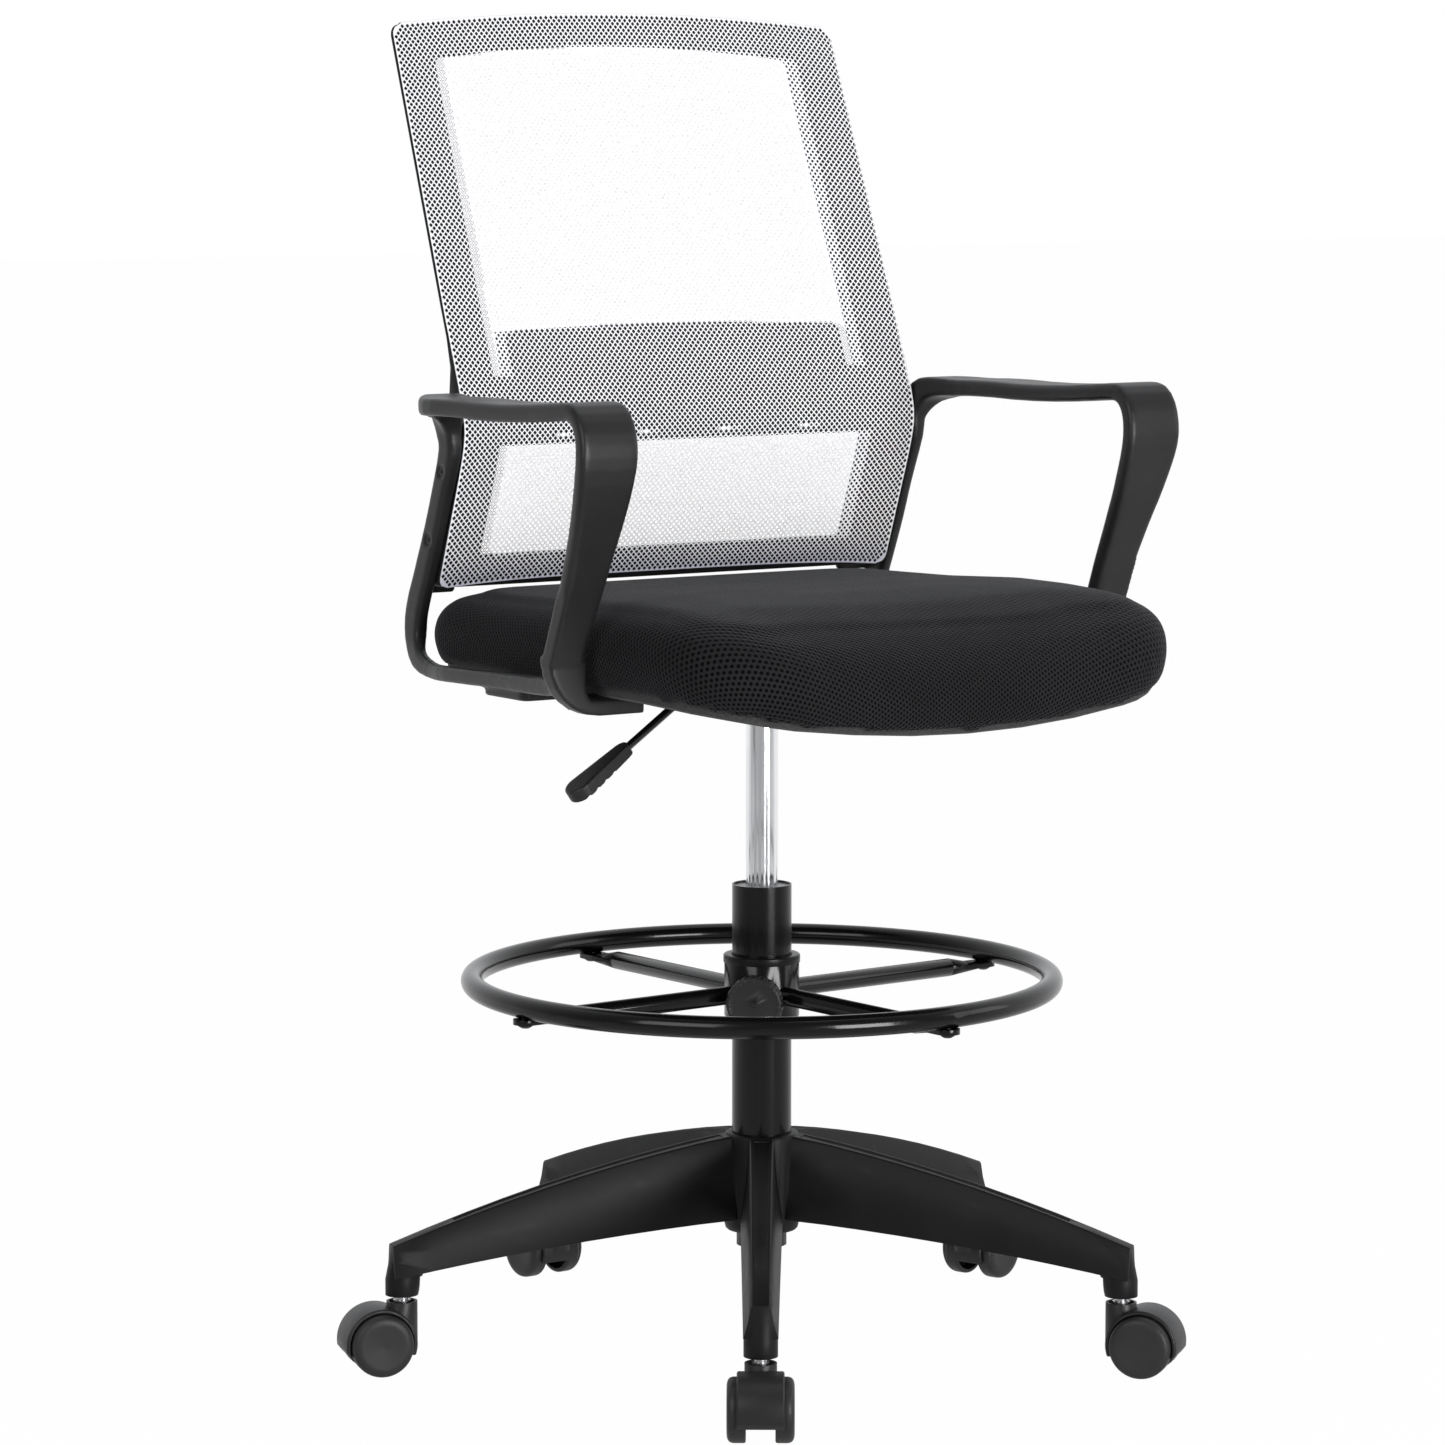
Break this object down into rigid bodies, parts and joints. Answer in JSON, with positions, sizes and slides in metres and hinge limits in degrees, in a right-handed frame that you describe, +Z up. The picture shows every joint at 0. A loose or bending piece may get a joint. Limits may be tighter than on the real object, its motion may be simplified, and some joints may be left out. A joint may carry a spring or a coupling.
{
  "type": "drafting chair",
  "caption": "Tall task chair on a castered star base with a gas lift, a sliding foot ring, an upholstered seat, closed loop arms and a mesh back",
  "frame": {"origin": "point on the floor below the lift column's axis", "axes": "+Z up, the sitter faces -Y, the sitter's left arm is at +X"},
  "size_m": [0.7304, 0.7026, 1.1629],
  "materials": {
    "base_plastic": "moulded nylon, fine grain",
    "black_steel": "satin black powder coat",
    "bush_plastic": "smooth grey bearing plastic",
    "bright_steel": "bright zinc plate",
    "chrome": "polished chrome plate",
    "dark_plastic": "smooth dark plastic",
    "dark_steel": "blackened steel",
    "board": "moulded plywood under a thin black cover",
    "seat_fabric": "black upholstery weave over foam",
    "arm_plastic": "moulded nylon, fine grain",
    "frame_plastic": "moulded nylon, fine grain",
    "mesh_fabric": "open knitted mesh, white",
    "caster_plastic": "smooth nylon",
    "wheel_plastic": "smooth nylon with a softer tread"
  },
  "bodies": {
    "base": {"base_star": "base_plastic", "column_tube": "black_steel", "guide_bush": "bush_plastic", "thrust_bearing": "bright_steel"},
    "lift_rod": {"piston_rod": "bright_steel", "retaining_clip": "bright_steel"},
    "seat": {"gas_cylinder": "chrome", "seat_plate": "black_steel", "seat_pan": "board", "pan_nuts": "bright_steel", "seat_cushion": "seat_fabric", "seat_bolts": "dark_steel", "arm_left": "arm_plastic", "arm_right": "arm_plastic", "arm_bolts": "dark_steel", "back_frame": "frame_plastic", "back_mesh": "mesh_fabric", "back_screws": "dark_steel"},
    "button": {"release_button": "bright_steel"},
    "lever": {"lever_rod": "black_steel", "lever_paddle": "dark_plastic"},
    "foot_rest": {"foot_ring": "black_steel", "ring_hub": "black_steel", "ring_bush": "dark_plastic", "ring_bolts": "dark_steel"},
    "knob": {"clamp_knob": "dark_plastic"},
    "caster_1": {"caster_hood_1": "caster_plastic", "caster_stem_1": "bright_steel", "caster_axle_1": "bright_steel"},
    "wheel_l_1": {"wheel_left_1": "wheel_plastic"},
    "wheel_r_1": {"wheel_right_1": "wheel_plastic"},
    "caster_2": {"caster_hood_2": "caster_plastic", "caster_stem_2": "bright_steel", "caster_axle_2": "bright_steel"},
    "wheel_l_2": {"wheel_left_2": "wheel_plastic"},
    "wheel_r_2": {"wheel_right_2": "wheel_plastic"},
    "caster_3": {"caster_hood_3": "caster_plastic", "caster_stem_3": "bright_steel", "caster_axle_3": "bright_steel"},
    "wheel_l_3": {"wheel_left_3": "wheel_plastic"},
    "wheel_r_3": {"wheel_right_3": "wheel_plastic"},
    "caster_4": {"caster_hood_4": "caster_plastic", "caster_stem_4": "bright_steel", "caster_axle_4": "bright_steel"},
    "wheel_l_4": {"wheel_left_4": "wheel_plastic"},
    "wheel_r_4": {"wheel_right_4": "wheel_plastic"},
    "caster_5": {"caster_hood_5": "caster_plastic", "caster_stem_5": "bright_steel", "caster_axle_5": "bright_steel"},
    "wheel_l_5": {"wheel_left_5": "wheel_plastic"},
    "wheel_r_5": {"wheel_right_5": "wheel_plastic"}
  },
  "joints": [
    {"name": "swivel", "type": "hinge", "parent": "base", "child": "lift_rod", "pos_m": [0, 0, 0.3], "axis": [0, 0, 1], "continuous": true},
    {"name": "height", "type": "slide", "parent": "lift_rod", "child": "seat", "axis": [0, 0, 1], "range_m": [-0.08, 0.12]},
    {"name": "foot_rest_slide", "type": "slide", "parent": "base", "child": "foot_rest", "axis": [0, 0, 1], "range_m": [-0.09, 0.05]},
    {"name": "knob_turn", "type": "hinge", "parent": "foot_rest", "child": "knob", "pos_m": [-0.0328, -0.03774, 0.311], "axis": [-0.6561, -0.7547, 0], "range_deg": [0, 720]},
    {"name": "lever_lift", "type": "hinge", "parent": "seat", "child": "lever", "pos_m": [-0.0215, 0, 0.5859], "axis": [0, 1, 0], "range_deg": [0, 6], "stiffness_Nm_per_rad": 8, "springref_deg": -2.86},
    {"name": "button_press", "type": "slide", "parent": "seat", "child": "button", "axis": [0, 0, -1], "range_m": [0, 0.003], "stiffness_N_per_m": 800, "springref_m": -0.001},
    {"name": "caster_swivel_1", "type": "hinge", "parent": "base", "child": "caster_1", "pos_m": [-0.18174, -0.26944, 0.075], "axis": [0, 0, 1], "continuous": true},
    {"name": "wheel_spin_l_1", "type": "hinge", "parent": "caster_1", "child": "wheel_l_1", "pos_m": [-0.19404, -0.28768, 0.027], "axis": [0.829, -0.5592, 0], "continuous": true},
    {"name": "wheel_spin_r_1", "type": "hinge", "parent": "caster_1", "child": "wheel_r_1", "pos_m": [-0.19404, -0.28768, 0.027], "axis": [0.829, -0.5592, 0], "continuous": true},
    {"name": "caster_swivel_2", "type": "hinge", "parent": "base", "child": "caster_2", "pos_m": [0.20009, -0.2561, 0.075], "axis": [0, 0, 1], "continuous": true},
    {"name": "wheel_spin_l_2", "type": "hinge", "parent": "caster_2", "child": "wheel_l_2", "pos_m": [0.21363, -0.27344, 0.027], "axis": [0.788, 0.6157, 0], "continuous": true},
    {"name": "wheel_spin_r_2", "type": "hinge", "parent": "caster_2", "child": "wheel_r_2", "pos_m": [0.21363, -0.27344, 0.027], "axis": [0.788, 0.6157, 0], "continuous": true},
    {"name": "caster_swivel_3", "type": "hinge", "parent": "base", "child": "caster_3", "pos_m": [0.3054, 0.11116, 0.075], "axis": [0, 0, 1], "continuous": true},
    {"name": "wheel_spin_l_3", "type": "hinge", "parent": "caster_3", "child": "wheel_l_3", "pos_m": [0.32607, 0.11868, 0.027], "axis": [-0.342, 0.9397, 0], "continuous": true},
    {"name": "wheel_spin_r_3", "type": "hinge", "parent": "caster_3", "child": "wheel_r_3", "pos_m": [0.32607, 0.11868, 0.027], "axis": [-0.342, 0.9397, 0], "continuous": true},
    {"name": "caster_swivel_4", "type": "hinge", "parent": "base", "child": "caster_4", "pos_m": [-0.01134, 0.3248, 0.075], "axis": [0, 0, 1], "continuous": true},
    {"name": "wheel_spin_l_4", "type": "hinge", "parent": "caster_4", "child": "wheel_l_4", "pos_m": [-0.01211, 0.34679, 0.027], "axis": [-0.9994, -0.0349, 0], "continuous": true},
    {"name": "wheel_spin_r_4", "type": "hinge", "parent": "caster_4", "child": "wheel_r_4", "pos_m": [-0.01211, 0.34679, 0.027], "axis": [-0.9994, -0.0349, 0], "continuous": true},
    {"name": "caster_swivel_5", "type": "hinge", "parent": "base", "child": "caster_5", "pos_m": [-0.31241, 0.08958, 0.075], "axis": [0, 0, 1], "continuous": true},
    {"name": "wheel_spin_l_5", "type": "hinge", "parent": "caster_5", "child": "wheel_l_5", "pos_m": [-0.33356, 0.09565, 0.027], "axis": [-0.2756, -0.9613, 0], "continuous": true},
    {"name": "wheel_spin_r_5", "type": "hinge", "parent": "caster_5", "child": "wheel_r_5", "pos_m": [-0.33356, 0.09565, 0.027], "axis": [-0.2756, -0.9613, 0], "continuous": true}
  ],
  "couplings": [
    {"joint": "button_press", "follows": "lever_lift", "m_per_rad": 0.0228}
  ]
}
